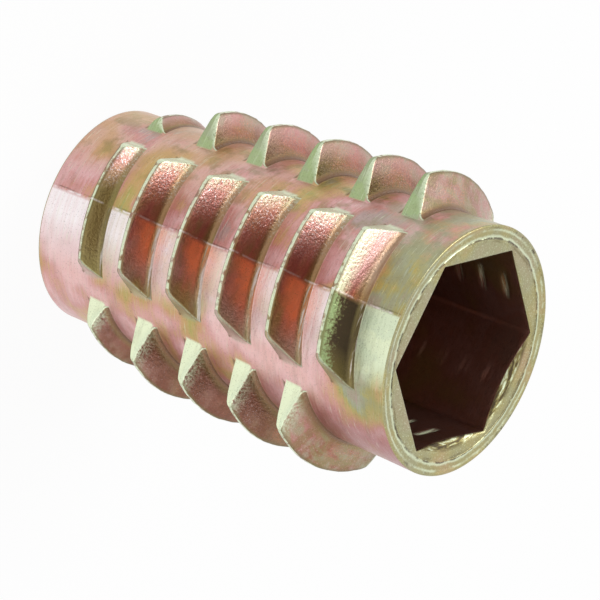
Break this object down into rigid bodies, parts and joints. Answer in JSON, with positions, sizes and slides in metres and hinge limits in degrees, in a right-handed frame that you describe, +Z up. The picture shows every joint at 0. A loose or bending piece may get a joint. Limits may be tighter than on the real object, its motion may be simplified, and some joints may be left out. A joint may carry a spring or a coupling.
{
  "type": "threaded insert",
  "caption": "Die-cast zinc screw-in insert for wood: tapered body with an interrupted coarse outer thread, a hexagon drive socket at one end and a metric inner screw thread.",
  "frame": {"origin": "centre of the plain end's face, on the axis: the face that the insert stands on", "axes": "+Z up the axis, from the plain end to the hexagon socket end; +X through the middle of one column of fins, where the die halves parted"},
  "size_m": [0.0139, 0.0139, 0.02],
  "materials": {
    "yellow_zinc": "die-cast zinc alloy with iridescent yellow zinc plating: pink, gold and green tints, grainy cast flanks, satin body"
  },
  "bodies": {
    "root": {"insert_body": "yellow_zinc"}
  },
  "joints": []
}
